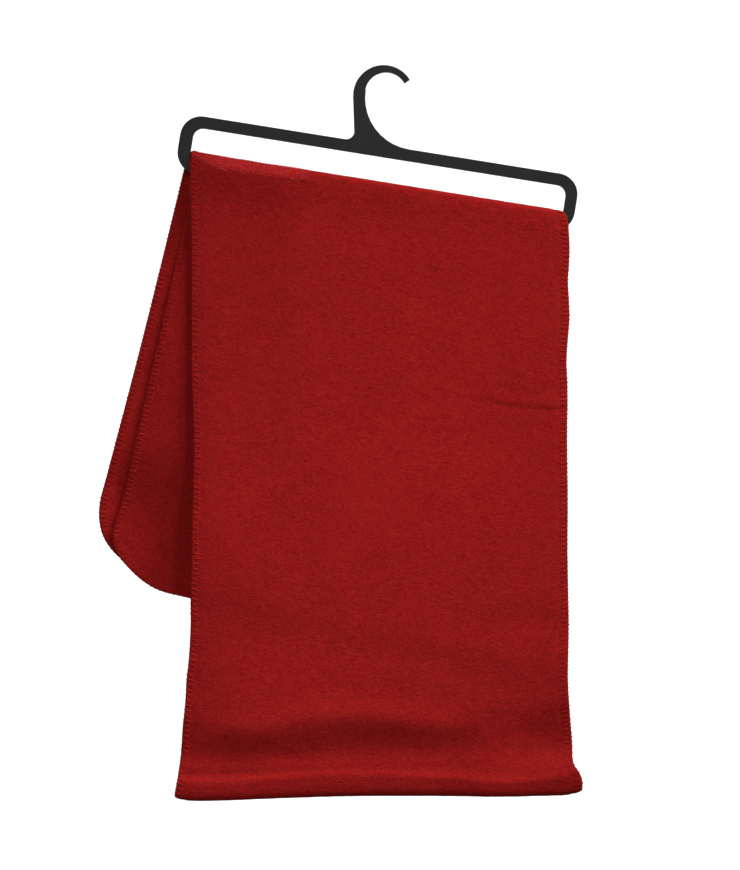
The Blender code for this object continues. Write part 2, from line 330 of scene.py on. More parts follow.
def wrap_end_z(x):
    """The height at which the wrap over the bar ends and the cloth starts to fall."""
    return leaned(bar_place(x), 0, WRAP_CENTRE).z


section_heights = [-section.z for section in FRONT_SECTIONS]
section_lefts = [section.left for section in FRONT_SECTIONS]
section_rights = [section.right for section in FRONT_SECTIONS]
print("front is", round(section_rights[12] - section_lefts[12], 4), "m wide at mid-height")

# %% [markdown]
# ## Folds in the front
# Fleece is thick and springy, so it shows few folds, and soft ones. Each is a swell towards the viewer or a
# hollow away from it, as long, tall and deep as it looks in the photograph. The largest is a bowed roll just
# above the bottom fold. A thin crease runs in from the right edge. Where the free ends stop behind the front,
# it sinks back a little. They could be sculpted with a brush. A row of a table for each is chosen instead,
# because a row can be measured and moved.

# %% Folds in the front
Swell = namedtuple("Swell", "out x z wide tall rise bow")
FRONT_SWELLS = (
    Swell(0.0021, -0.022, -0.4790, 0.078, 0.0100, 0.00, -1.35),
    Swell(-0.0034, -0.160, -0.4700, 0.034, 0.0600, 0.00, 0.00),
    Swell(0.0022, 0.146, -0.4500, 0.016, 0.0420, 0.00, 0.00),
    Swell(0.0018, 0.139, -0.5180, 0.013, 0.0090, 0.60, 0.00),
    Swell(-0.0008, 0.105, -0.4100, 0.040, 0.0100, 0.06, 0.00),
    Swell(0.0010, -0.030, -0.3300, 0.120, 0.0500, 0.00, 0.00),
    Swell(0.0006, -0.100, -0.3750, 0.050, 0.0250, -0.10, 0.00),
    Swell(-0.0008, -0.090, -0.2300, 0.014, 0.0900, 0.00, 0.00),
    Swell(0.0006, 0.010, -0.2500, 0.018, 0.1000, 0.00, 0.00),
    Swell(-0.0006, 0.075, -0.2100, 0.020, 0.0800, 0.00, 0.00),
)
CREASE_LEFT = Vector((0.030, -0.2415))
CREASE_RIGHT = Vector((0.137, -0.2530))
CREASE_DEPTH = 0.00055
CREASE_REACH = 0.0026
CREASE_WAVE = 0.0012
FREE_END_LEFT = Vector((-0.146, -0.3925))
FREE_END_RIGHT = Vector((0.063, -0.4382))
FREE_END_STEP = 0.0011
FREE_END_SOFTNESS = 0.022


def swelled(folds, x, z):
    """The sum of the soft folds at a place, as a distance towards the viewer."""
    total = 0.0
    for fold in folds:
        across = x - fold.x
        up = z - fold.z - across * fold.rise - across * across * fold.bow
        total += fold.out * bell(across, fold.wide) * bell(up, fold.tall)
    return total


def crease(x, z):
    """A thin line pressed in from the right edge, fading to the left, its upper lip raised."""
    amount = (x - CREASE_LEFT.x) / (CREASE_RIGHT.x - CREASE_LEFT.x)
    up = z - mix(CREASE_LEFT.y, CREASE_RIGHT.y, amount) - CREASE_WAVE * math.sin(7 * amount)
    lip = 0.7 * bell(up - 1.6 * CREASE_REACH, 1.8 * CREASE_REACH)
    return CREASE_DEPTH * ease(amount * 1.4) * (lip - bell(up, CREASE_REACH))


def over_free_ends(x, z):
    """The step where the front lies over the free ends behind it, and sinks back below them."""
    amount = (x - FREE_END_LEFT.x) / (FREE_END_RIGHT.x - FREE_END_LEFT.x)
    edge = mix(FREE_END_LEFT.y, FREE_END_RIGHT.y, amount)
    return FREE_END_STEP * ease((z - edge) / FREE_END_SOFTNESS + 0.5) * (1 - ease((amount - 1.0) * 2))


print("deepest swell", max(abs(fold.out) for fold in FRONT_SWELLS) * 1000, "mm")

# %% [markdown]
# ## The hollow above the bottom fold
# Under the bowed roll the front sinks back, most at the left, and stays back down to the ridge of the bottom
# fold. The table says, at places across the front, where the hollow starts and ends and how deep it is there
# and at the ridge.

# %% The hollow above the bottom fold
Hollow = namedtuple("Hollow", "x start end deep ridge_deep")
HOLLOWS = (
    Hollow(-0.155, -0.4670, -0.5190, 0.0064, 0.0074),
    Hollow(-0.125, -0.4810, -0.5180, 0.0061, 0.0071),
    Hollow(-0.094, -0.4885, -0.5160, 0.0055, 0.0068),
    Hollow(-0.049, -0.4840, -0.5150, 0.0053, 0.0064),
    Hollow(-0.004, -0.4795, -0.5110, 0.0051, 0.0058),
    Hollow(0.040, -0.4835, -0.5105, 0.0040, 0.0048),
    Hollow(0.085, -0.4700, -0.5000, 0.0036, 0.0026),
    Hollow(0.119, -0.4620, -0.5040, 0.0060, 0.0030),
    Hollow(0.142, -0.4620, -0.5000, 0.0058, 0.0030),
)
RIDGE_Z = -0.5240
FRONT_DRIFT = 0.0007
FRONT_RIPPLE = 0.00022
hollow_places = [hollow.x for hollow in HOLLOWS]


def hollow_at(x, column):
    return along(hollow_places, [getattr(hollow, column) for hollow in HOLLOWS], x)


def sunk(x, z):
    """How far the front lies back at a place, above and along the bottom fold."""
    start = hollow_at(x, "start")
    if z > start:
        return 0.0
    end = hollow_at(x, "end")
    deep = hollow_at(x, "deep")
    if z > end:
        return deep * ease((start - z) / (start - end))
    return mix(deep, hollow_at(x, "ridge_deep"), ease((end - z) / (end - RIDGE_Z)))


def front_relief(x, z):
    """How far the front stands towards the viewer at a place, all its folds together."""
    unevenness = FRONT_DRIFT * noise.noise(Vector((x * 16, 3.1, z * 13)))
    unevenness += FRONT_RIPPLE * noise.noise(Vector((x * 45, 7.7, z * 60)))
    return swelled(FRONT_SWELLS, x, z) + crease(x, z) + over_free_ends(x, z) - sunk(x, z) + unevenness


print("hollow above the bottom fold", round(sunk(-0.03, -0.512) * 1000, 2), "mm")

# %% [markdown]
# ## Folds in the back
# The two free ends hang one behind the other and swing out to the left of the front, past the hanger's arm.
# With nothing to hold them there they sag back, the more so lower down, and their corners swing forward
# again. The rear one shows as a narrow strip that curls forward along its edge. The side that the photograph
# doesn't show has the same kind of soft, uneven swells, so that the scarf looks right from behind too.

# %% Folds in the back
SAG_FROM_ABOVE = -0.148
SAG_FROM_BELOW = -0.095
SAG_REACH = 0.100
SAG_STARTS = -0.110
SAG_FALL = 0.250
SAG_DEPTH = 0.0125
SAG_POWER = 1.2
SAG_WIDENS_AT = -0.270
SAG_WIDENS_OVER = 0.070
BACK_DRIFT = 0.0005
BACK_INNER_SWELLS = (
    Swell(0.0014, -0.205, -0.3640, 0.032, 0.028, 0.00, 0.00),
    Swell(0.0056, -0.154, -0.1900, 0.026, 0.085, 0.00, 0.00),
    Swell(-0.0008, -0.020, -0.3300, 0.050, 0.050, 0.00, 0.00),
)
BACK_OUTER_SWELLS = (
    Swell(0.0014, -0.214, -0.3600, 0.024, 0.036, 0.00, 0.00),
    Swell(0.0048, -0.158, -0.1900, 0.028, 0.080, 0.00, 0.00),
    Swell(-0.0030, 0.020, -0.3900, 0.060, 0.040, -0.24, 0.00),
    Swell(-0.0018, -0.060, -0.2400, 0.080, 0.030, -0.20, 0.00),
    Swell(-0.0010, 0.060, -0.1700, 0.030, 0.060, 0.00, 0.00),
)


def back_relief(swells, x, z):
    """How far a free end stands towards the viewer at a place."""
    unevenness = BACK_DRIFT * noise.noise(Vector((x * 15, 11.3, z * 14)))
    sag_from = mix(SAG_FROM_ABOVE, SAG_FROM_BELOW, ease((SAG_WIDENS_AT - z) / SAG_WIDENS_OVER))
    fallen = min(max((SAG_STARTS - z) / SAG_FALL, 0.0), 1.0) ** SAG_POWER
    sag = SAG_DEPTH * fallen * ease((sag_from - x) / SAG_REACH)
    return swelled(swells, x, z) + unevenness - sag


print("relief at the near corner", round(back_relief(BACK_INNER_SWELLS, -0.19, -0.356) * 1000, 2), "mm")

# %% [markdown]
# ## The bottom fold
# A strip this thick can't fold flat. It turns in a loop about as wide as four walls of cloth. Seen from the
# side, the loop swells out below a narrow neck to a soft ridge, stands almost upright under the ridge and
# turns under in a tight round. A half circle would be simpler, but it has no ridge to catch the light. So
# one table gives half the loop's width at each height above its lowest point, another how high the loop
# hangs along its length and how high its ridge sits there.

# %% The bottom fold
LoopStation = namedtuple("LoopStation", "height half_width")
LOOP = (
    LoopStation(0.0000, 0.0000),
    LoopStation(0.0004, 0.0020),
    LoopStation(0.0014, 0.0034),
    LoopStation(0.0032, 0.0043),
    LoopStation(0.0060, 0.0049),
    LoopStation(0.0095, 0.0052),
    LoopStation(0.0130, 0.0055),
    LoopStation(0.0148, 0.0050),
    LoopStation(0.0172, 0.0040),
    LoopStation(0.0205, 0.0031),
    LoopStation(0.0245, 0.0025),
    LoopStation(0.0290, 0.0020),
    LoopStation(0.0340, HALF_SPACING),
)
NECK_HEIGHT = LOOP[-1].height
FoldStation = namedtuple("FoldStation", "across lowest ridge_share")
LOWEST_LINE = (
    FoldStation(0.00, -0.5420, 0.90),
    FoldStation(0.03, -0.5437, 0.88),
    FoldStation(0.10, -0.5437, 0.86),
    FoldStation(0.24, -0.5421, 1.04),
    FoldStation(0.42, -0.5403, 1.12),
    FoldStation(0.66, -0.5400, 0.94),
    FoldStation(0.80, -0.5403, 0.68),
    FoldStation(0.91, -0.5397, 0.82),
    FoldStation(0.97, -0.5389, 1.05),
    FoldStation(1.00, -0.5366, 1.10),
)
fold_places = [station.across for station in LOWEST_LINE]


def lowest_middle(across):
    """The height of the cloth's middle surface at the bottom of the loop."""
    return along(fold_places, [station.lowest for station in LOWEST_LINE], across) + WALL / 2


def neck_z(across):
    """The height of the narrow neck, where the loop meets the two front layers."""
    return lowest_middle(across) + NECK_HEIGHT


def loop_point(across, turn):
    """(depth from the middle, z) on the loop. Turn runs 0 to 1, down its front and up its back."""
    steps = len(LOOP) - 1
    station = abs(1 - 2 * turn) * steps
    places = list(range(steps + 1))
    height = along(places, [row.height for row in LOOP], station)
    half_width = along(places, [row.half_width for row in LOOP], station)
    share = along(fold_places, [station.ridge_share for station in LOWEST_LINE], across)
    height *= mix(share, 1.0, (height / NECK_HEIGHT) ** 2)
    side = -1 if turn < 0.5 else 1
    return side * half_width, lowest_middle(across) + height


print("loop is", round(2 * max(row.half_width for row in LOOP) * 1000 + WALL * 1000, 1), "mm deep outside")

# %% [markdown]
# ## Laying the strip
# The cloth could be seven pieces, like the solids. One strip is chosen, because then no seam shows where
# they meet. `lay(across, run)` will say where a point of the strip's middle surface hangs. `across` goes
# from 0 at the left edge to 1 at the right, and `run` is the distance from the first free end. The run is
# split into seven stretches, one for each solid that the strip replaces.

# %% The stretches of the strip
RIM = 0.0009
HIDDEN_INSET = 0.0045

Stretch = namedtuple("Stretch", "name length")
STRETCHES = (
    Stretch("back_outer_fall", 0.3180),
    Stretch("bar_wrap_outer", math.pi * OUTER_DEPTH),
    Stretch("front_outer_fall", 0.4180),
    Stretch("bottom_fold", 0.0760),
    Stretch("front_inner_fall", 0.4180),
    Stretch("bar_wrap_inner", math.pi * INNER_DEPTH),
    Stretch("back_inner_fall", 0.3285),
)
full_run = sum(stretch.length for stretch in STRETCHES)

# %% [markdown]
# ## The free ends
# Each free end is a slanted flat panel between four corners. It bows a little along its edge and spreads near
# its lower left corner. Four corners and a few sizes are enough, so no curve is drawn by hand. Its sag and
# swells only begin below the bar, which holds the cloth flat.

# %% The free ends
CURL_REACH = 0.0085
CURL_STARTS = 0.080
CURL_GROWS_OVER = 0.110
SPREAD_REACH = 0.018
SPREAD_DROPS = 0.3
FALL_STARTS = 0.010
BACK_FALL_GROWS_OVER = 0.045


def panel_point(panel, swells, across, from_end):
    """On a free end, at a distance from its lower edge."""
    top_x = mix(panel.top_left[0] + RIM, panel.top_right[0] - RIM, across)
    top = Vector((top_x, wrap_end_z(top_x)))
    lower_left = Vector(panel.bottom_left)
    lower_right = Vector(panel.bottom_right)
    trim = RIM / (lower_right - lower_left).length
    bottom = lower_left.lerp(lower_right, mix(trim, 1 - trim, across))
    length = (bottom - top).length - RIM
    nominal = STRETCHES[0].length if panel is BACK_OUTER else STRETCHES[-1].length
    share = from_end / length + (from_end / nominal) ** 2 * (1 - nominal / length)
    flat = bottom.lerp(top, (RIM + share * length) / (length + RIM))
    bow = panel.bow * math.sin(math.pi * min(share, 1.0)) * (1 - across)
    spread = panel.spread * bell((flat - panel.spread_at).length, SPREAD_REACH)
    drop = (1 - share) * length
    curl = panel.curl * bell(across * STRIP_WIDTH, CURL_REACH) * ease((drop - CURL_STARTS) / CURL_GROWS_OVER)
    held = ease((drop - FALL_STARTS) / BACK_FALL_GROWS_OVER)
    depth = panel.depth - curl - back_relief(swells, flat.x, flat.y) * held
    return Vector((flat.x + bow - spread, depth, flat.y - spread * SPREAD_DROPS))


lower_left = panel_point(BACK_INNER, BACK_INNER_SWELLS, 0.0, 0.0)
print("lower left corner", [round(value, 3) for value in lower_left])

# %% [markdown]
# ## Over the bar and down the front
# Along most of the bar the cloth turns tightly, almost like a box. Near the left end it is loose: it stands
# forward and its turn is chamfered, so a pale wedge of it faces up to the light. Two shapes would need a join
# between them. One superellipse gives both, and its power says how boxy the turn is. Inside the hanger's
# window the turn keeps clear of the arms.

# %% Over the bar and down the front
WRAP_STANDS_PROUD = 0.0012
PROUD_REACH = 0.0035
BAR_STANDOFF = 0.0013
TOP_PUFF = 0.0028
TOP_PUFF_AT = -0.1000
TOP_PUFF_WIDE = 0.041
TOP_PUFF_TALL = 0.024
PUFF_ENDS = 0.62
FULLY_PAST = 1.0006
TIGHT_TURN = 14.0
LOOSE_TURN = 1.12
LOOSE_TURN_INSIDE = 2.4
FRONT_FALL_GROWS_OVER = 0.040


def front_point(across, share, side, inset):
    """On a front layer: share 0 is the wrap's end and 1 the neck of the bottom fold."""
    first_x = mix(section_lefts[0] + RIM + inset, section_rights[0] - RIM - inset, across)
    top = wrap_end_z(first_x)
    z = mix(top, neck_z(across), share)
    left = along(section_heights, section_lefts, -z) + RIM + inset * (1 - share)
    right = along(section_heights, section_rights, -z) - RIM - inset * (1 - share)
    x = mix(left, right, across)
    relief = front_relief(x, z) * ease((top - z - FALL_STARTS) / FRONT_FALL_GROWS_OVER)
    puff = top_puff(x) * bell(top - z, TOP_PUFF_TALL)
    return Vector((x, FRONT_MIDDLE + side * HALF_SPACING - relief - puff, z))


def looseness(x):
    """1 near the left end of the bar, where the cloth bulges loosely over it, and 0 along the rest."""
    return bell((x - TOP_PUFF_AT) ** 2, TOP_PUFF_WIDE**2)


def top_puff(x):
    """How far the outer layer stands forward of the bar."""
    return TOP_PUFF * looseness(x) + BAR_STANDOFF


def turn_reach(turn, power):
    """How far a turn over the bar stands out at an angle: a round turn for power 2, a boxy one for more."""
    return (abs(math.cos(turn)) ** power + abs(math.sin(turn)) ** power) ** (-1 / power)


def wrap_point(across, share, radius, inset, panel):
    """Over the bar from front to back, inside the hanger's window until it is clear of the arms."""
    turn = math.pi * share
    front = (bar_place(section_lefts[0] + RIM + inset), bar_place(section_rights[0] - RIM - inset))
    back = (bar_place(panel.top_left[0] + RIM), bar_place(panel.top_right[0] - RIM))
    side = front if share < 0.5 else back
    clear = INNER_DEPTH / radius
    past = ease((abs(math.cos(turn)) - clear) / (FULLY_PAST - clear))
    window = (WINDOW[0] + RIM, WINDOW[1] - RIM)
    left = mix(window[0], side[0], past) if side[0] < window[0] else max(window[0], side[0])
    right = mix(window[1], side[1], past) if side[1] > window[1] else min(window[1], side[1])
    place = mix(left, right, across)
    near_x = leaned(place, 0, WRAP_CENTRE).x
    power = TIGHT_TURN
    if share < 0.5:
        loosest = LOOSE_TURN if radius == OUTER_DEPTH else LOOSE_TURN_INSIDE
        power = math.exp(mix(math.log(TIGHT_TURN), math.log(loosest), looseness(near_x)))
    if radius == OUTER_DEPTH:
        radius += WRAP_STANDS_PROUD * bell(place - left, PROUD_REACH) * math.sin(turn)
    reach = radius * turn_reach(turn, power)
    point = leaned(place, -reach * math.cos(turn), WRAP_CENTRE + reach * math.sin(turn))
    point.y -= top_puff(near_x) * ease((PUFF_ENDS - share) / PUFF_ENDS)
    return point


print("puff at the loose end", round(top_puff(TOP_PUFF_AT) * 1000, 1), "mm")

# %% [markdown]
# ## The whole strip
# The bottom fold takes its sides from the same outline as the front. `lay` finds the stretch that a point is
# on and asks that stretch's own function, so each part of the drape can be changed by itself.

# %% The whole strip
def fold_point(across, turn):
    """On the bottom fold: turn runs 0 to 1 from the outer layer to the inner one."""
    depth, z = loop_point(across, turn)
    left = along(section_heights, section_lefts, -z) + RIM
    right = along(section_heights, section_rights, -z) - RIM
    x = mix(left, right, across)
    return Vector((x, FRONT_MIDDLE + depth - front_relief(x, z), z))


def lay(across, run):
    """The place in the hanging scarf of a point of the strip's middle surface."""
    for stretch in STRETCHES:
        if run <= stretch.length or stretch is STRETCHES[-1]:
            break
        run -= stretch.length
    share = min(max(run / stretch.length, 0.0), 1.0)
    if stretch.name == "back_outer_fall":
        return panel_point(BACK_OUTER, BACK_OUTER_SWELLS, across, run)
    if stretch.name == "bar_wrap_outer":
        return wrap_point(across, 1 - share, OUTER_DEPTH, 0.0, BACK_OUTER)
    if stretch.name == "front_outer_fall":
        return front_point(across, share, -1, 0.0)
    if stretch.name == "bottom_fold":
        return fold_point(across, share)
    if stretch.name == "front_inner_fall":
        return front_point(across, 1 - share, 1, HIDDEN_INSET)
    if stretch.name == "bar_wrap_inner":
        return wrap_point(across, share, INNER_DEPTH, HIDDEN_INSET, BACK_INNER)
    return panel_point(BACK_INNER, BACK_INNER_SWELLS, across, max(stretch.length - run, 0.0))


print("lowest point in the middle", round(lay(0.5, full_run / 2).z, 4), "m")

# %% [markdown]
# ## The grid on the strip
# The cloth is a grid of points, closer together where it bends over the bar, round the bottom fold, at the
# crease and along its edges. A rectangle's grid has sharp corners, so near each free end it is squeezed into
# a quarter round. The corners could be cut off, but that leaves slivers. The square-to-disc formula keeps the
# lines even and bends the two borders into one arc.

# %% The grid on the strip
EDGE_STEPS = (0.0, 0.0007, 0.0017, 0.0030, 0.0044, 0.0058, 0.0074, 0.0094)
EDGE_STEPS += (0.0120, 0.0150, 0.0185, 0.0225, 0.0270)
COLUMN_SPACING = 0.0046
PLAIN_SPACING = 0.0048
TURN_SPACING = 0.0009
TURN_MARGIN = 0.006
CREASE_STARTS = 0.130
CREASE_LENGTH = 0.052
Spacing = namedtuple("Spacing", "until step")


def column_places():
    """Distances across the strip, close together at both edges."""
    middle = STRIP_WIDTH - 2 * EDGE_STEPS[-1]
    count = round(middle / COLUMN_SPACING)
    inner = [EDGE_STEPS[-1] + middle * k / count for k in range(1, count)]
    return list(EDGE_STEPS) + inner + [STRIP_WIDTH - d for d in reversed(EDGE_STEPS)]


def row_places():
    """Distances along the strip. Each stretch has its own spacing, and the crease a finer one."""
    starts = [sum(s.length for s in STRETCHES[:k]) for k in range(len(STRETCHES))]
    crease_run = starts[2] + CREASE_STARTS
    spacings = (
        Spacing(starts[1] - TURN_MARGIN, PLAIN_SPACING),
        Spacing(starts[2] + TURN_MARGIN, TURN_SPACING),
        Spacing(crease_run, PLAIN_SPACING),
        Spacing(crease_run + CREASE_LENGTH, 0.0019),
        Spacing(starts[3] - 0.040, PLAIN_SPACING),
        Spacing(starts[3], 0.0032),
        Spacing(starts[4], 0.0017),
        Spacing(starts[5] - TURN_MARGIN, 0.0075),
        Spacing(starts[6] + TURN_MARGIN, TURN_SPACING),
        Spacing(full_run - EDGE_STEPS[-1], PLAIN_SPACING),
    )
    places = list(EDGE_STEPS)
    for spacing in spacings:
        span = spacing.until - places[-1]
        count = max(1, round(span / spacing.step))
        start = places[-1]
        places += [start + span * k / count for k in range(1, count + 1)]
    return places + [full_run - d for d in reversed(EDGE_STEPS[:-1])]


def rounded(width_place, run):
    """(place, run, distance from the edge) of a grid point, moved into the strip's rounded outline."""
    side = min(width_place, STRIP_WIDTH - width_place)
    end = min(run, full_run - run)
    if side >= CORNER_RADIUS or end >= CORNER_RADIUS:
        return width_place, run, min(side, end)
    x = 1 - side / CORNER_RADIUS
    y = 1 - end / CORNER_RADIUS
    disc_x = x * math.sqrt(1 - y * y / 2)
    disc_y = y * math.sqrt(1 - x * x / 2)
    side_now = CORNER_RADIUS * (1 - disc_x)
    end_now = CORNER_RADIUS * (1 - disc_y)
    place_now = side_now if width_place < STRIP_WIDTH / 2 else STRIP_WIDTH - side_now
    run_now = end_now if run < full_run / 2 else full_run - end_now
    return place_now, run_now, CORNER_RADIUS * (1 - math.hypot(disc_x, disc_y))


columns = column_places()
rows = row_places()
grid = [[rounded(place, run) for place in columns] for run in rows]
print("grid", len(rows), "x", len(columns))

# %% [markdown]
# ## The cloth wall
# Each grid point becomes two: one on each face of the cloth, half a wall to each side of the middle surface.
# The stitching pinches the edge, so the wall is thin at the rim, thinnest again where the needle went in, and
# puffs up just inside the stitches. A round rim closes the two faces into one wall. A Solidify modifier could
# thicken a bare sheet, but evenly, and the pinched edge is what makes the cloth look sewn.

# %% How thick the wall is
Pinch = namedtuple("Pinch", "inside half_wall")
EDGE_PROFILE = (
    Pinch(0.0000, 0.00100),
    Pinch(0.0015, 0.00096),
    Pinch(0.0030, 0.00114),
    Pinch(0.0044, 0.00124),
    Pinch(0.0058, 0.00120),
    Pinch(0.0078, 0.00144),
    Pinch(0.0104, 0.00153),
    Pinch(0.0140, 0.00153),
    Pinch(0.0200, 0.00150),
)
STITCH_DEPTH = 0.0052
FACE_LUMP = 0.00018
LUMPS_PER_METRE = 210
LUMP_GROWS_OVER = 0.008


def half_wall(inside):
    return along([row.inside for row in EDGE_PROFILE], [row.half_wall for row in EDGE_PROFILE], inside)


def surface_frame(place, run):
    """(point, unit vector across, unit vector along, unit normal) of the laid strip."""
    step = 0.0006
    low = max(place - step, 0.0)
    high = min(place + step, STRIP_WIDTH)
    before = max(run - step, 0.0)
    after = min(run + step, full_run)
    across = lay(high / STRIP_WIDTH, run) - lay(low / STRIP_WIDTH, run)
    onward = lay(place / STRIP_WIDTH, after) - lay(place / STRIP_WIDTH, before)
    normal = onward.cross(across).normalized()
    return lay(place / STRIP_WIDTH, run), across.normalized(), onward.normalized(), normal


print("the edge is", round(2 * half_wall(0.0) * 1000, 1), "mm thick, the wall", WALL * 1000, "mm")

# %% [markdown]
# ## Building the wall
# The points are joined square by square on both faces, and along the border three more points turn each bit
# of rim in an arc. Numbers decide the shape, so it is built with bmesh rather than modelled by hand.

# %% The cloth wall
def build_cloth():
    """The strip as one closed wall: a right face, a wrong face and a round rim between them."""
    bm = bmesh.new()
    last_row = len(rows) - 1
    last_column = len(columns) - 1
    frames = [[surface_frame(place, run) for place, run, _ in line] for line in grid]
    faces = {}
    for side in (1, -1):
        for r, line in enumerate(grid):
            for c, (_, _, inside) in enumerate(line):
                point, _, _, normal = frames[r][c]
                lump = FACE_LUMP * noise.noise(point * LUMPS_PER_METRE + Vector((side * 5, 0, 0)))
                lump *= ease(inside / LUMP_GROWS_OVER)
                faces[side, r, c] = bm.verts.new(point + normal * side * (half_wall(inside) + lump))
    for r in range(last_row):
        for c in range(last_column):
            square = ((r, c), (r, c + 1), (r + 1, c + 1), (r + 1, c))
            bm.faces.new([faces[(1, *corner)] for corner in square])
            bm.faces.new([faces[(-1, *corner)] for corner in reversed(square)])
    border = [(0, c) for c in range(last_column)]
    border += [(r, last_column) for r in range(last_row)]
    border += [(last_row, c) for c in range(last_column, 0, -1)]
    border += [(r, 0) for r in range(last_row, 0, -1)]
    rim = []
    for k, (r, c) in enumerate(border):
        before = frames[border[k - 1][0]][border[k - 1][1]][0]
        after_r, after_c = border[(k + 1) % len(border)]
        edge_way = (frames[after_r][after_c][0] - before).normalized()
        point, _, _, normal = frames[r][c]
        outward = normal.cross(edge_way).normalized()
        middle = frames[min(max(r, 1), last_row - 1)][min(max(c, 1), last_column - 1)][0]
        if outward.dot(point - middle) < 0:
            outward = -outward
        half = half_wall(0.0)
        turns = [math.radians(a) for a in (45, 0, -45)]
        ring = [point + outward * half * math.cos(a) + normal * half * math.sin(a) for a in turns]
        rim.append([faces[1, r, c]] + [bm.verts.new(p) for p in ring] + [faces[-1, r, c]])
    for k, ring in enumerate(rim):
        onward = rim[(k + 1) % len(rim)]
        for j in range(len(ring) - 1):
            bm.faces.new((ring[j], ring[j + 1], onward[j + 1], onward[j]))
    bmesh.ops.recalc_face_normals(bm, faces=bm.faces)
    mesh = bpy.data.meshes.new("scarf")
    bm.to_mesh(mesh)
    bm.free()
    mesh.shade_smooth()
    return mesh


scarf = bpy.data.objects.new("scarf", build_cloth())
bpy.context.scene.collection.objects.link(scarf)
print("scarf faces", len(scarf.data.polygons))

# %% [markdown]
# ## The fleece finish
# Fleece is knitted, brushed and sheared, which leaves a dense nap: a dull surface with small lumps drawn out
# across the strip, paler where fibre tips catch the light and darker between them. A picture of fleece could
# be laid on, but it would need an unwrapped mesh and would repeat. Noise stretched sideways gives the lumps.
# The same noise colours them and raises them. The paler colour on the raised tips is a painted highlight and
# the darker colour between them is painted shade, over a random mottling. A little sheen stands for the fibre
# ends that glow at grazing angles.

# %% Fleece finish
# The darker colour is painted shade deep in the pile, the paler one a painted highlight on the fibre tips.
FLEECE_DEEP_SHADED = (0.200, 0.0055, 0.0050, 1)
FLEECE_TIPS_LIT = (0.335, 0.0120, 0.0110, 1)

fleece, shader, tree = new_finish(
    "brushed_fleece",
    {
        "Sheen Weight": 0.12,
        "Sheen Roughness": 0.45,
        "Sheen Tint": (1.0, 0.10, 0.09, 1),
        "Specular IOR Level": 0.04,
    },
)
lumps = grain(tree, 420, stretch=(1, 1.5, 1.9), detail=4.0, roughness=0.65, distortion=0.5)
clumps = grain(tree, 130, stretch=(1, 1, 1.4), detail=2.0)
drift = grain(tree, 26, detail=2.0)
# Paler where the bump is high and darker where it is low: painted highlight and painted shade, with random
# mottling.
tips = clamped((lumps - 0.5) * 2.4 + (clumps - 0.5) * 0.5 + (drift - 0.5) * 0.35 + 0.5)
plug(shader, "Base Color", mixed_colour(tips, FLEECE_DEEP_SHADED, FLEECE_TIPS_LIT))
plug(shader, "Roughness", 0.97 - tips * 0.12)
plug(shader, "Normal", bumped(lumps * 0.75 + clumps * 0.6, 0.55, 0.0011))
scarf.data.materials.append(fleece)
print("fleece nodes", len(fleece.node_tree.nodes))

# %% [markdown]
# ## The edge stitching
# One thread is whipped over the raw edge: it comes out of one face a little way in, crosses the rim and goes
# back in on the other face, again and again. Bump could draw it, but the edge would stay straight. So each
# stitch is a short bent tube that follows the pinched edge. First come the places of the stitches, one after
# the other round the rectangle with its four rounded corners.

# %% Where the stitches go
STITCH_PITCH = 0.0036


def flat_outline(pitch):
    """(place, run) and the inward direction of each stitch along the strip's rounded edge."""
    straight_side = full_run - 2 * CORNER_RADIUS
    straight_end = STRIP_WIDTH - 2 * CORNER_RADIUS
    quarter = CORNER_RADIUS * math.pi / 2
    lengths = (straight_side, quarter, straight_end, quarter) * 2
    total = sum(lengths)
    count = round(total / pitch)
    near = CORNER_RADIUS
    far_place = STRIP_WIDTH - CORNER_RADIUS
    far_run = full_run - CORNER_RADIUS
    centres = ((near, far_run), (far_place, far_run), (far_place, near), (near, near))
    starts = (math.pi, math.pi / 2, 0.0, -math.pi / 2)
    for k in range(count):
        place = total * k / count
        leg = 0
        while place > lengths[leg]:
            place -= lengths[leg]
            leg += 1
        if leg % 2:
            centre = centres[leg // 2]
            angle = starts[leg // 2] - place / CORNER_RADIUS
            out = (math.cos(angle), math.sin(angle))
            yield centre[0] + CORNER_RADIUS * out[0], centre[1] + CORNER_RADIUS * out[1], -out[0], -out[1]
        elif leg == 0:
            yield 0.0, near + place, 1.0, 0.0
        elif leg == 2:
            yield near + place, full_run, 0.0, -1.0
        elif leg == 4:
            yield STRIP_WIDTH, far_run - place, -1.0, 0.0
        else:
            yield far_place - place, 0.0, 0.0, 1.0


print("stitches", len(list(flat_outline(STITCH_PITCH))))

# %% [markdown]
# ## One stitch
# A curve with a bevel would give a tube too, but thousands of curves are slow to convert. So a few rings of
# points are placed along each stitch. Each one is a touch irregular in reach, slant and slack, so no two are
# alike. All of them are joined into one piece.

# %% One stitch
THREAD_RADIUS = 0.00038
THREAD_SLACK = 0.00065
THREAD_SIDES = 6
STITCH_REACHES = (0.90, 1.08)
STITCH_SLANTS = (-0.00022, 0.00045)
STITCH_LIFTS = (0.10, 0.35)
HOLE_DEPTH = 0.0006
INWARD_SHARES = (0.14, 0.42, 0.72, 1.0)
random.seed(7)


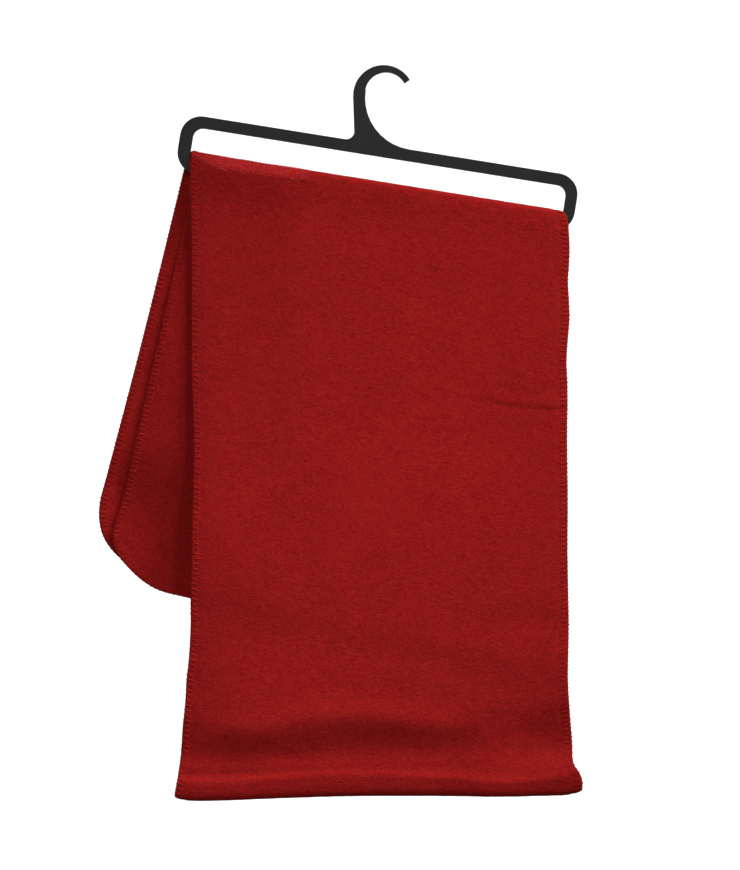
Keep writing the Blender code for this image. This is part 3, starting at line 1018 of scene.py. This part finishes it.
def stitch_path(place, run, in_place, in_run):
    """The middle line of one stitch, from its hole in one face round the rim to its hole in the other."""
    reach = STITCH_DEPTH * random.uniform(*STITCH_REACHES)
    slant = random.uniform(*STITCH_SLANTS)
    lift = THREAD_RADIUS * random.uniform(*STITCH_LIFTS)
    slack = THREAD_SLACK * random.random() ** 2
    path = []
    for side in (1, -1):
        for share in reversed(INWARD_SHARES) if side == 1 else INWARD_SHARES:
            inside = reach * share
            sideways = slant * side * share
            at_place = min(max(place + in_place * inside + in_run * sideways, 0.0), STRIP_WIDTH)
            at_run = min(max(run + in_run * inside - in_place * sideways, 0.0), full_run)
            point, _, _, normal = surface_frame(at_place, at_run)
            height = -HOLE_DEPTH if share == 1.0 else lift
            path.append(point + normal * side * (half_wall(inside) + height))
        if side == 1:
            edge, across, onward, _ = surface_frame(place, run)
            outward = -(across * in_place + onward * in_run).normalized()
            path.append(edge + outward * (half_wall(0.0) + lift + slack))
    return path


def add_tube(bm, path, radius, sides):
    """A round tube along a short path, its ends closed."""
    rings = []
    for k, point in enumerate(path):
        way = (path[min(k + 1, len(path) - 1)] - path[max(k - 1, 0)]).normalized()
        helper = Vector((0.3, 0.5, 0.81))
        first = way.cross(helper).normalized()
        second = way.cross(first)
        angles = [2 * math.pi * j / sides for j in range(sides)]
        ring = [bm.verts.new(point + (first * math.cos(a) + second * math.sin(a)) * radius) for a in angles]
        rings.append(ring)
    for one, two in zip(rings, rings[1:]):
        for j in range(sides):
            bm.faces.new((one[j], one[(j + 1) % sides], two[(j + 1) % sides], two[j]))
    bm.faces.new(list(reversed(rings[0])))
    bm.faces.new(rings[-1])


def build_stitches():
    """All the stitches as one mesh of short closed tubes."""
    bm = bmesh.new()
    for place, run, in_place, in_run in flat_outline(STITCH_PITCH):
        add_tube(bm, stitch_path(place, run, in_place, in_run), THREAD_RADIUS, THREAD_SIDES)
    bmesh.ops.recalc_face_normals(bm, faces=bm.faces)
    mesh = bpy.data.meshes.new("edge_stitching")
    bm.to_mesh(mesh)
    bm.free()
    mesh.shade_smooth()
    return mesh


stitches = bpy.data.objects.new("edge_stitching", build_stitches())
bpy.context.scene.collection.objects.link(stitches)
print("stitching faces", len(stitches.data.polygons))

# %% [markdown]
# ## The thread finish
# The thread is dyed to match. It is smoother than the fleece, and its colour is painted paler as a highlight
# for that, which a fine twist across it breaks up. Modelling the twist would cost many faces and hardly show.

# %% Thread finish
# The paler colour is a painted highlight for the smoother thread.
THREAD_SHADE = (0.235, 0.0075, 0.0065, 1)
THREAD_HIGHLIGHT = (0.405, 0.0175, 0.0155, 1)

thread, shader, tree = new_finish("dyed_thread", {"Specular IOR Level": 0.03})
twist = grain(tree, 1700, detail=1.0)
lengths = grain(tree, 160, detail=1.0)
plug(shader, "Base Color", mixed_colour(clamped(twist * 0.6 + lengths * 0.5), THREAD_SHADE, THREAD_HIGHLIGHT))
plug(shader, "Roughness", 0.80 + twist * 0.2)
plug(shader, "Normal", bumped(twist, 0.4, 0.0002))
stitches.data.materials.append(thread)
print("thread nodes", len(thread.node_tree.nodes))

# %% [markdown]
# ## The nap
# Brushing pulls fibre ends out of the knit. They lie over, mostly sideways, and show as fine flecks on the
# face and as a soft fuzz where the cloth is seen edge on. First the faces that carry fibres are picked. Where
# the cloth turns loosely over the bar the pile opens, in an uneven patch that fades out along the bar, and
# there the fibres carry a painted highlight.

# %% Which faces carry fibres
OPEN_PILE_RISE = 0.0090
OPEN_PILE_FALL = 0.0010
OPEN_PILE_FRAYS = 0.004
OPEN_PILE_LOOSE = 0.42
OPEN_PILE_RAGGED = 0.55
rows_upto = np.cumsum([0.0] + [stretch.length for stretch in STRETCHES])
quads_across = len(columns) - 1


def faces_of(first_stretch, last_stretch, side):
    """The numbers of the scarf's faces between two stretches, on its right (0) or wrong (1) side."""
    picked = []
    for r in range(len(rows) - 1):
        if rows_upto[first_stretch] <= rows[r] < rows_upto[last_stretch + 1]:
            start = r * quads_across
            picked += [2 * k + side for k in range(start, start + quads_across)]
    return np.array(picked)


def faces_of_open_pile_and_highlight():
    """The front faces of the loose part of the turn over the bar, where the pile stands open; their fibres
    carry a painted highlight.
    """
    picked = []
    for number in faces_of(1, 2, 0):
        middle = scarf.data.polygons[int(number)].center
        below = leaned(bar_place(middle.x), 0, WRAP_CENTRE).z - middle.z
        patchy = noise.noise(middle * 90)
        open_pile = looseness(middle.x) > OPEN_PILE_LOOSE + OPEN_PILE_RAGGED * noise.noise(middle * 150)
        if open_pile and -OPEN_PILE_RISE < below < OPEN_PILE_FALL + OPEN_PILE_FRAYS * patchy:
            picked.append(number)
    return np.array(picked)


front_faces = faces_of(1, 3, 0)
open_pile_and_highlight_faces = faces_of_open_pile_and_highlight()
end_faces = np.concatenate([faces_of(0, 0, 0), faces_of(0, 0, 1), faces_of(4, 6, 0)])
print("faces in front, on the bend, on the ends", len(front_faces), len(open_pile_and_highlight_faces), len(end_faces))

# %% [markdown]
# ## Growing the fibres
# Blender's hair could grow them, but hair isn't a mesh. Here each fibre is a slim pointed spike rooted in the
# cloth. Faces are picked at random by the root of their area, which puts more fibres where the grid is fine:
# along the edges and over the folds, where fuzz shows most. NumPy makes all the spikes at once.

# %% Growing the fibres
FIBRES_IN_FRONT = 48000
FIBRES_ON_ENDS = 46000
FIBRES_ON_BEND = 14000
FIBRE_LENGTH = 0.0013
FIBRE_RADIUS = 0.00011
FIBRE_RISE = 0.42
SPIKE_FACES = ((0, 1, 3), (1, 2, 3), (2, 0, 3), (0, 2, 1))


def build_nap(name, picked, count, chance, standing=1.0):
    """Spikes on a choice of the scarf's faces, each rooted at a random place and laid over to one side."""
    mesh = scarf.data
    corners = np.empty(len(mesh.polygons) * 4, np.int32)
    mesh.polygons.foreach_get("vertices", corners)
    places = np.empty(len(mesh.vertices) * 3)
    mesh.vertices.foreach_get("co", places)
    places = places.reshape(-1, 3)[corners.reshape(-1, 4)[picked]]
    along_one = places[:, 1] - places[:, 0]
    along_two = places[:, 3] - places[:, 0]
    normals = np.cross(places[:, 2] - places[:, 0], places[:, 3] - places[:, 1])
    areas = np.linalg.norm(normals, axis=1)
    weights = np.sqrt(areas)
    chosen = chance.choice(len(picked), count, p=weights / weights.sum())
    u = chance.random((count, 1))
    v = chance.random((count, 1))
    quad = places[chosen]
    low = quad[:, 0] * (1 - u) + quad[:, 1] * u
    high = quad[:, 3] * (1 - u) + quad[:, 2] * u
    root = low * (1 - v) + high * v
    normal = normals[chosen] / areas[chosen, None]
    sideways = along_one[chosen] / np.linalg.norm(along_one[chosen], axis=1)[:, None]
    onward = along_two[chosen] / np.linalg.norm(along_two[chosen], axis=1)[:, None]
    turn = chance.normal(0, 0.7, (count, 1)) + math.pi * (chance.random((count, 1)) < 0.5)
    lie = sideways * np.cos(turn) + onward * np.sin(turn)
    rise = FIBRE_RISE * standing * chance.uniform(0.3, 1.9, (count, 1))
    length = FIBRE_LENGTH * chance.uniform(0.5, 1.4, (count, 1))
    way = lie + normal * rise
    way /= np.linalg.norm(way, axis=1)[:, None]
    beside = np.cross(way, normal)
    above = np.cross(beside, way)
    radius = FIBRE_RADIUS * chance.uniform(0.7, 1.3, (count, 1))
    root = root - normal * FIBRE_RADIUS
    ring = [root + radius * (beside * math.cos(a) + above * math.sin(a)) for a in (0.5, 2.6, 4.7)]
    points = np.stack(ring + [root + way * length], axis=1).reshape(-1, 3)
    starts = np.arange(count)[:, None, None] * 4
    triangles = (starts + np.array(SPIKE_FACES)[None]).reshape(-1, 3)
    nap_mesh = bpy.data.meshes.new(name)
    nap_mesh.from_pydata(points.tolist(), [], triangles.tolist())
    nap_mesh.update()
    nap_mesh.shade_smooth()
    nap = bpy.data.objects.new(name, nap_mesh)
    bpy.context.scene.collection.objects.link(nap)
    return nap


chance = np.random.default_rng(11)
nap_in_front = build_nap("nap_in_front", front_faces, FIBRES_IN_FRONT, chance)
nap_on_bend_highlight = build_nap("nap_on_bend_highlight", open_pile_and_highlight_faces, FIBRES_ON_BEND, chance, standing=2.2)
nap_on_ends = build_nap("nap_on_ends", end_faces, FIBRES_ON_ENDS, chance)
print("fibres", FIBRES_IN_FRONT + FIBRES_ON_ENDS + FIBRES_ON_BEND)

# %% [markdown]
# ## The fibre finish
# Loose fibre ends are the same dyed polyester. They stand above the deeper pile and catch more light, so
# their colour is painted paler as a highlight, and each one is a little different. Where the pile stands open
# on the bend over the bar, the fibres are painted paler again, as a highlight on the top of the fold. One
# colour would look flat, so noise as fine as the fibres picks each one's shade. One function makes both
# finishes.

# %% Fibre finish
# Paler than the fleece: a painted highlight on the loose fibres.
FIBRE_SHADE = (0.240, 0.0065, 0.0060, 1)
FIBRE_LIGHT = (0.400, 0.0170, 0.0160, 1)
# Much paler still: the painted highlight on the bend over the bar.
BEND_HIGHLIGHT_DARKER = (0.480, 0.0200, 0.0190, 1)
BEND_HIGHLIGHT_PALER = (0.800, 0.0750, 0.0710, 1)


def fibre_finish(name, shade, light, roughness, specular):
    """Dyed fibre whose shade changes from one to the next."""
    material, shader, tree = new_finish(name, {"Specular IOR Level": specular})
    shades = grain(tree, 900, detail=1.0)
    plug(shader, "Base Color", mixed_colour(clamped((shades - 0.35) * 2.6), shade, light))
    plug(shader, "Roughness", roughness + shades * 0.2)
    return material


fibre = fibre_finish("loose_fibre", FIBRE_SHADE, FIBRE_LIGHT, 0.75, 0.05)
bend_highlight_fibre = fibre_finish("bend_highlight_fibre", BEND_HIGHLIGHT_DARKER, BEND_HIGHLIGHT_PALER, 0.70, 0.10)
for nap in (nap_in_front, nap_on_ends):
    nap.data.materials.append(fibre)
nap_on_bend_highlight.data.materials.append(bend_highlight_fibre)
print("fibre nodes", len(fibre.node_tree.nodes))

# %% [markdown]
# ## The room
# A studio photograph of clothing is taken before a sweep of pale paper, which has no corner to cast a line.
# A plain backdrop would do for the front, but the sweep also gives a floor when the scarf is seen from above.
# It stands well behind and below the scarf, so that no shadow shows on it.

# %% Sweep
SWEEP_WIDTH = 18.0
SWEEP_FLOOR = -3.0
SWEEP_WALL = 4.6
SWEEP_TOP = 5.0
SWEEP_FRONT = -4.5
SWEEP_ROUND = 1.0
SWEEP_STEPS = 12
PAPER_WHITE = (0.86, 0.86, 0.86, 1)


def build_sweep():
    """A floor that curves up into a wall."""
    line = [(SWEEP_FRONT, SWEEP_FLOOR)]
    for k in range(SWEEP_STEPS + 1):
        turn = math.radians(90 * k / SWEEP_STEPS)
        y = SWEEP_WALL - SWEEP_ROUND + SWEEP_ROUND * math.sin(turn)
        line.append((y, SWEEP_FLOOR + SWEEP_ROUND * (1 - math.cos(turn))))
    line.append((SWEEP_WALL, SWEEP_TOP))
    bm = bmesh.new()
    sides = [[bm.verts.new((x, y, z)) for y, z in line] for x in (-SWEEP_WIDTH / 2, SWEEP_WIDTH / 2)]
    for k in range(len(line) - 1):
        bm.faces.new((sides[0][k], sides[1][k], sides[1][k + 1], sides[0][k + 1]))
    mesh = bpy.data.meshes.new("sweep")
    bm.to_mesh(mesh)
    bm.free()
    mesh.shade_smooth()
    return mesh


sweep = bpy.data.objects.new("sweep", build_sweep())
bpy.context.scene.collection.objects.link(sweep)
paper, shader, tree = new_finish("sweep_paper", {"Base Color": PAPER_WHITE, "Specular IOR Level": 0.1})
plug(shader, "Roughness", 0.85 + grain(tree, 8) * 0.1)
sweep.data.materials.append(paper)
print("sweep stands", SWEEP_WALL, "m behind")

# %% [markdown]
# ## The lights
# The photograph's light comes from high on the right: swells have a lit upper slope and a darker lower one,
# and each layer shades the one behind it to its left. One small lamp would draw that shade too sharp, and one
# large lamp would lose it. Three disks side by side soften it, and their narrow beams make a pool of light
# that falls off towards the scarf's ends. A large fill in front and an even glow all round lift the shades, a
# lamp behind lights the back, and two wide lamps turn the wall to a clean white.

# %% Lights
Lamp = namedtuple("Lamp", "name place aim size power spread")
KEY_AIM = (0.01, 0.0, -0.315)
ROOM_GLOW = 0.12
LAMPS = (
    Lamp("key_near", (1.18, -1.69, 2.15), KEY_AIM, 0.72, 0.58, 13),
    Lamp("key_middle", (1.67, -1.21, 2.15), KEY_AIM, 0.72, 0.72, 13),
    Lamp("key_far", (1.90, -0.93, 2.15), KEY_AIM, 0.72, 0.69, 13),
    Lamp("fill", (-0.5, -2.7, 0.9), (0.0, 0.0, -0.33), 2.0, 3.1, 36),
    Lamp("back", (-1.5, 2.0, 0.3), (0.0, 0.0, -0.3), 0.9, 4.0, 50),
    Lamp("wall_left", (-1.9, 2.8, 0.4), (-0.4, 4.6, -0.9), 1.0, 46, 130),
    Lamp("wall_right", (1.9, 2.8, 0.4), (0.4, 4.6, -0.9), 1.0, 46, 130),
)

for lamp in LAMPS:
    light = bpy.data.lights.new(lamp.name, "AREA")
    light.shape = "DISK"
    light.size = lamp.size
    light.energy = lamp.power
    light.spread = math.radians(lamp.spread)
    holder = bpy.data.objects.new(lamp.name, light)
    holder.location = lamp.place
    way = Vector(lamp.aim) - Vector(lamp.place)
    holder.rotation_euler = way.to_track_quat("-Z", "Y").to_euler()
    bpy.context.scene.collection.objects.link(holder)

world = bpy.data.worlds.new("studio")
world.use_nodes = True
glow = world.node_tree.nodes["Background"]
glow.inputs["Color"].default_value = (1, 1, 1, 1)
glow.inputs["Strength"].default_value = ROOM_GLOW
bpy.context.scene.world = world
bpy.context.scene.view_settings.view_transform = "Standard"
print("lamps", [lamp.name for lamp in LAMPS])

# %% [markdown]
# ## What each piece is
# The strip stands for all seven cloth solids, which are hidden, and rides on the one body, with its stitches
# and its nap.

# %% Declarations
cloth_nodes = [stretch.name for stretch in STRETCHES]
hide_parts(*cloth_nodes)
for piece in (scarf, stitches, nap_in_front, nap_on_bend_highlight, nap_on_ends):
    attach(piece, "root")
